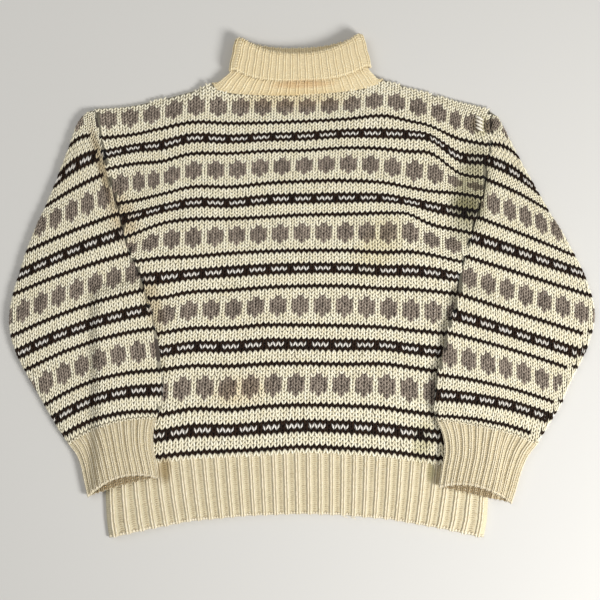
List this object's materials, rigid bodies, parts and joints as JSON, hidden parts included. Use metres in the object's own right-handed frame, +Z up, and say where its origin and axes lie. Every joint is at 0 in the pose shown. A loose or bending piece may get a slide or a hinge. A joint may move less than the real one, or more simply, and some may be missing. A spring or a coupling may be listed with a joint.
{
  "type": "fair isle turtleneck sweater",
  "caption": "Chunky hand-knitted pullover laid flat, sleeves folded down over the front, with a folded ribbed turtleneck, ribbed cuffs and hem, and a dot and stripe stranded pattern.",
  "frame": {"origin": "on the surface the sweater lies on, under the middle of its outline box", "axes": "+X across the sweater from its left-hand sleeve to its right-hand one as seen in the picture, +Y from hem to collar, +Z up from the surface"},
  "size_m": [0.857, 0.7349, 0.0265],
  "materials": {
    "stranded_knit": "matte hairy wool, cream ground with dark brown stripes and heathered grey-brown dots",
    "ribbing": "matte hairy wool, cream",
    "collar_ribbing": "matte hairy wool, yellowed cream"
  },
  "bodies": {
    "root": {"front_panel": "stranded_knit", "back_panel": "stranded_knit", "front_hem_rib": "ribbing", "back_hem_rib": "ribbing", "left_sleeve": "stranded_knit", "right_sleeve": "stranded_knit", "left_cuff": "ribbing", "right_cuff": "ribbing", "collar": "collar_ribbing"}
  },
  "joints": []
}
